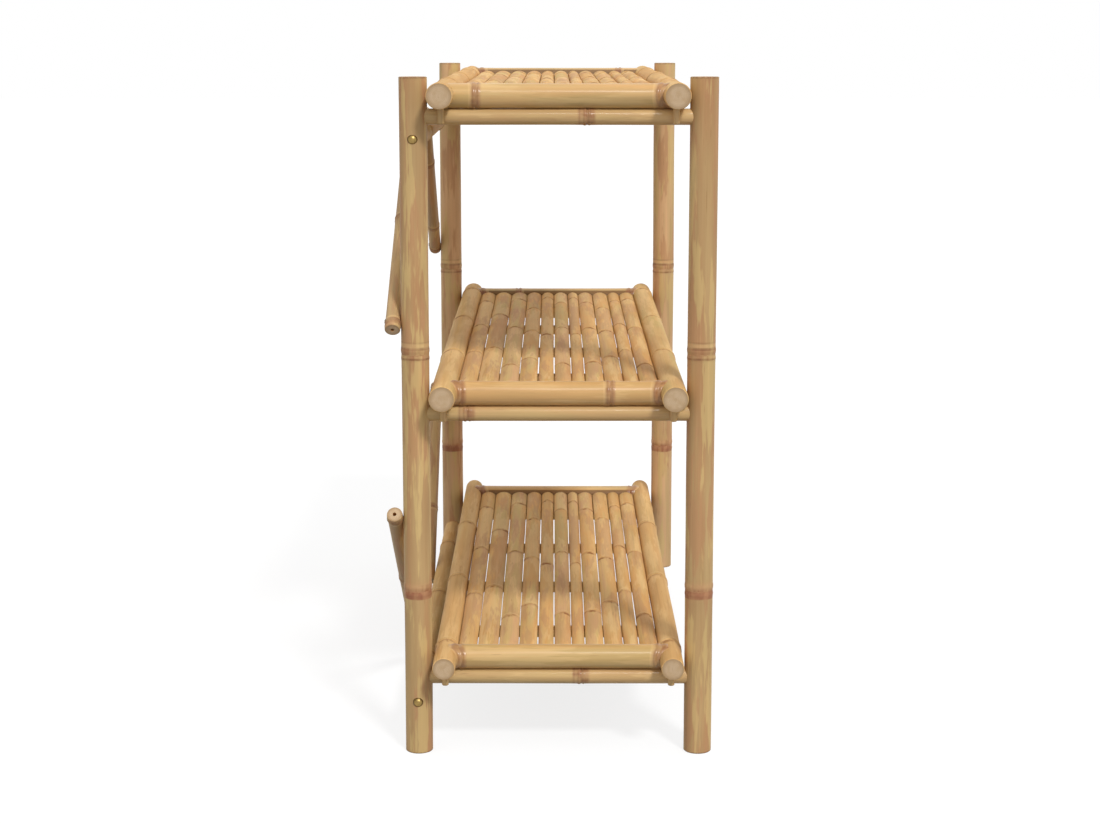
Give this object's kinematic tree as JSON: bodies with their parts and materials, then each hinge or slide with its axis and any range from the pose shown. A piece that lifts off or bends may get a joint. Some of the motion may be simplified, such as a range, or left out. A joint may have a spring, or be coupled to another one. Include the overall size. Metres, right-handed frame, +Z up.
{
  "type": "shelving unit",
  "caption": "Free-standing bamboo shelving unit: round posts carry slatted shelves on crossbars, with rails and knee braces at the back.",
  "frame": {"origin": "on the floor, in the middle of the unit's bounding box", "axes": "+X along the shelves, +Y towards the braced back, +Z up"},
  "size_m": [0.9, 0.3662, 0.76],
  "materials": {
    "bamboo_post": "varnished, satin",
    "bamboo_rail": "varnished, satin",
    "bamboo_thin": "varnished, satin",
    "bamboo_split": "varnished, satin",
    "brass": "polished",
    "steel": "dull"
  },
  "bodies": {
    "root": {"post_front_left": "bamboo_post", "post_front_right": "bamboo_post", "post_back_left": "bamboo_post", "post_back_right": "bamboo_post", "crossbar_left_top": "bamboo_thin", "top_end_bar_left": "bamboo_rail", "crossbar_right_top": "bamboo_thin", "top_end_bar_right": "bamboo_rail", "top_rail_front": "bamboo_rail", "top_rail_back": "bamboo_rail", "top_batten_1": "bamboo_split", "top_batten_2": "bamboo_split", "top_batten_3": "bamboo_split", "top_batten_4": "bamboo_split", "top_slats": "bamboo_split", "top_pegs": "bamboo_thin", "crossbar_left_middle": "bamboo_thin", "middle_end_bar_left": "bamboo_rail", "crossbar_right_middle": "bamboo_thin", "middle_end_bar_right": "bamboo_rail", "middle_rail_front": "bamboo_rail", "middle_rail_back": "bamboo_rail", "middle_batten_1": "bamboo_split", "middle_batten_2": "bamboo_split", "middle_batten_3": "bamboo_split", "middle_batten_4": "bamboo_split", "middle_slats": "bamboo_split", "middle_pegs": "bamboo_thin", "crossbar_left_bottom": "bamboo_thin", "bottom_end_bar_left": "bamboo_rail", "crossbar_right_bottom": "bamboo_thin", "bottom_end_bar_right": "bamboo_rail", "bottom_rail_front": "bamboo_rail", "bottom_rail_back": "bamboo_rail", "bottom_batten_1": "bamboo_split", "bottom_batten_2": "bamboo_split", "bottom_batten_3": "bamboo_split", "bottom_batten_4": "bamboo_split", "bottom_slats": "bamboo_split", "bottom_pegs": "bamboo_thin", "back_rail_upper": "bamboo_rail", "brace_upper_left": "bamboo_thin", "brace_upper_right": "bamboo_thin", "back_rail_lower": "bamboo_rail", "brace_lower_left": "bamboo_thin", "brace_lower_right": "bamboo_thin", "back_rail_screws": "brass", "brace_screws": "steel"}
  },
  "joints": []
}
